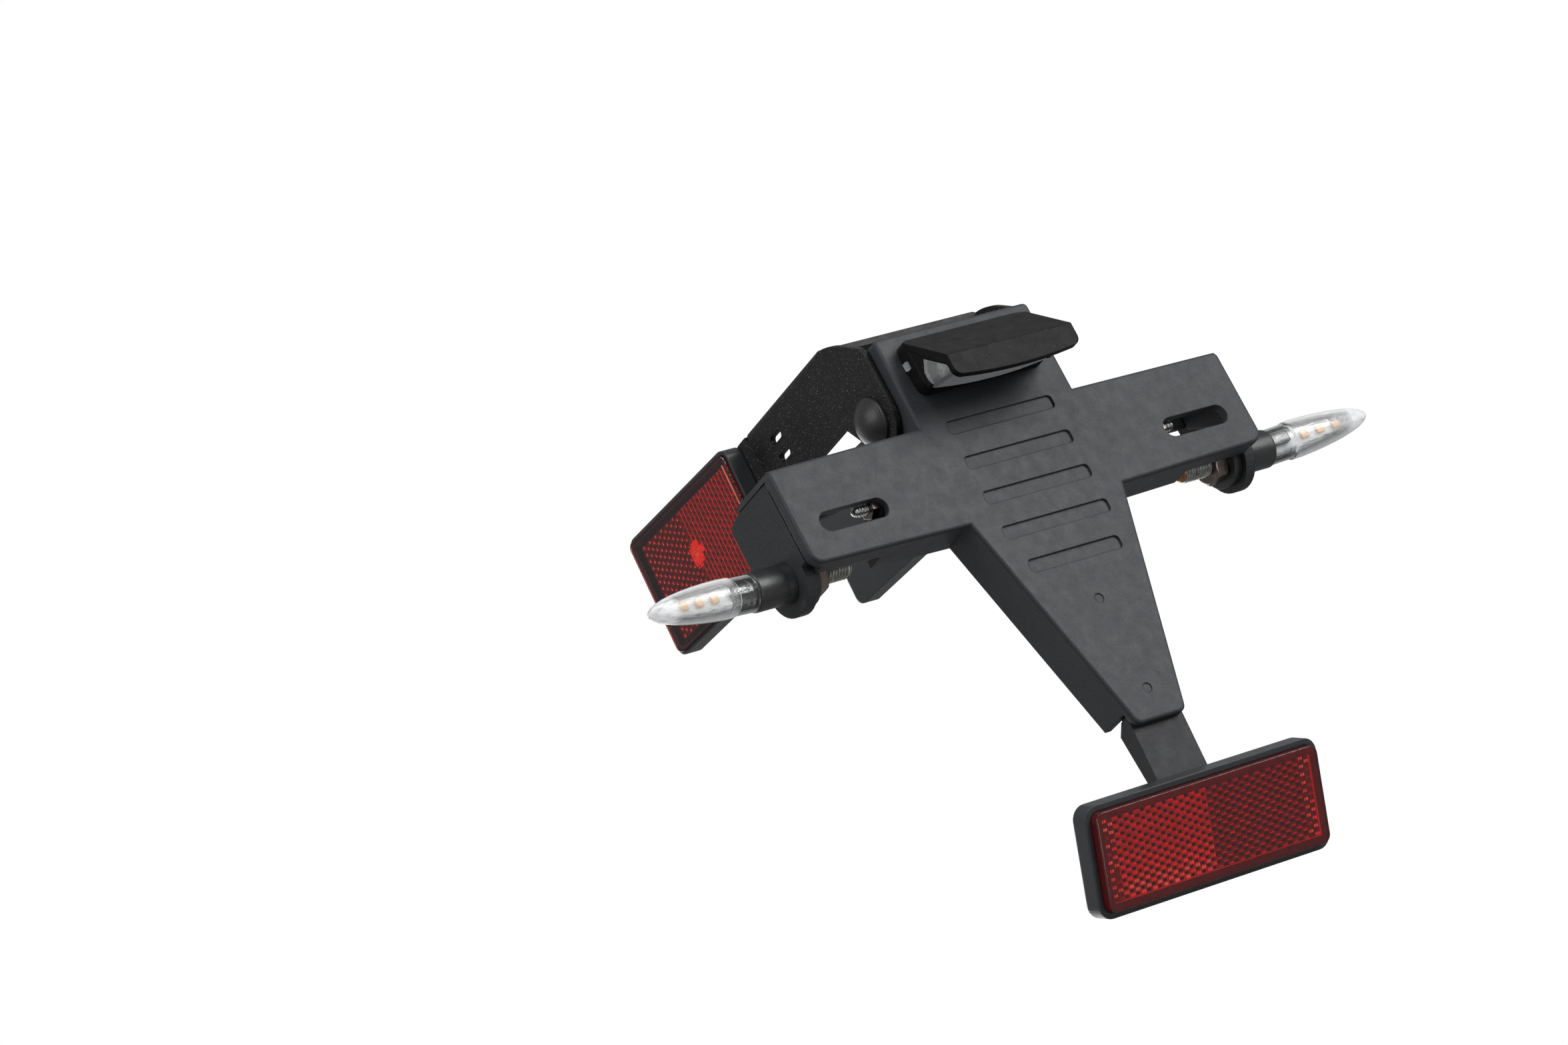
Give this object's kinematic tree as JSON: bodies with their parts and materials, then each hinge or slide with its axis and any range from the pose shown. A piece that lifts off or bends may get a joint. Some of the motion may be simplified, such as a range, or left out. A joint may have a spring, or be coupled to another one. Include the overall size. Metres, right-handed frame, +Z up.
{
  "type": "motorbike tail tidy with plate carrier, indicators and lamp",
  "caption": "Folded steel tail bracket with a tilting moulded plate carrier, indicators, licence lamp and red side and rear reflectors.",
  "frame": {"origin": "centre of the four tail bolt holes, on the deck's top face", "axes": "+X right seen from behind the motorbike, +Y forward, +Z up and square to the deck"},
  "size_m": [0.3072, 0.1881, 0.2239],
  "materials": {
    "amber_led": "amber resin",
    "black_steel": "black powder coat, fine sparkle, satin",
    "board_white": "white lacquer",
    "bolt_black": "black zinc, satin",
    "bracket_plastic": "smooth charcoal moulded plastic",
    "carrier_plastic": "charcoal moulded plastic with a fine matt grain",
    "clear_plastic": "clear polished plastic",
    "dark_steel": "dark oiled steel",
    "frame_plastic": "black satin plastic",
    "lamp_plastic": "black grained plastic",
    "mirror_metal": "bright metallised plastic",
    "red_plastic": "red prismatic plastic",
    "rubber_black": "black rubber, satin",
    "shell_plastic": "black satin plastic",
    "stem_plastic": "charcoal moulded plastic",
    "stud_steel": "zinc plated, dulled",
    "zinc": "bright zinc, slightly dulled"
  },
  "bodies": {
    "bracket": {"tail_bracket": "black_steel", "pivot_bolts": "bolt_black", "pivot_washers": "zinc", "pivot_nuts": "zinc", "side_case_left": "frame_plastic", "side_case_right": "frame_plastic", "side_lens_left": "red_plastic", "side_lens_right": "red_plastic", "side_nuts": "dark_steel"},
    "carrier": {"plate_carrier": "carrier_plastic", "indicator_bracket_left": "bracket_plastic", "indicator_bracket_right": "bracket_plastic", "bracket_screws": "zinc", "bracket_nuts": "dark_steel", "stalk_left": "rubber_black", "stalk_right": "rubber_black", "indicator_shell_left": "shell_plastic", "indicator_shell_right": "shell_plastic", "indicator_lens_left": "clear_plastic", "indicator_lens_right": "clear_plastic", "led_board_left": "board_white", "led_board_right": "board_white", "leds_left": "amber_led", "leds_right": "amber_led", "resistor_block_left": "shell_plastic", "resistor_block_right": "shell_plastic", "stud_left": "stud_steel", "stud_right": "stud_steel", "stalk_washer_left": "rubber_black", "stalk_washer_right": "rubber_black", "stalk_nut_left": "dark_steel", "stalk_nut_right": "dark_steel", "lamp_housing": "lamp_plastic", "lamp_lens": "clear_plastic", "lamp_mirror": "mirror_metal", "lamp_board": "board_white", "lamp_screws": "zinc", "reflector_stem": "stem_plastic", "stem_screws": "zinc", "rear_frame": "frame_plastic", "rear_lens": "red_plastic", "rear_screw": "zinc"}
  },
  "joints": [
    {"name": "plate_tilt", "type": "hinge", "parent": "bracket", "child": "carrier", "pos_m": [0, -0.0405, -0.0342], "axis": [1, 0, 0], "range_deg": [-10, 30]}
  ]
}
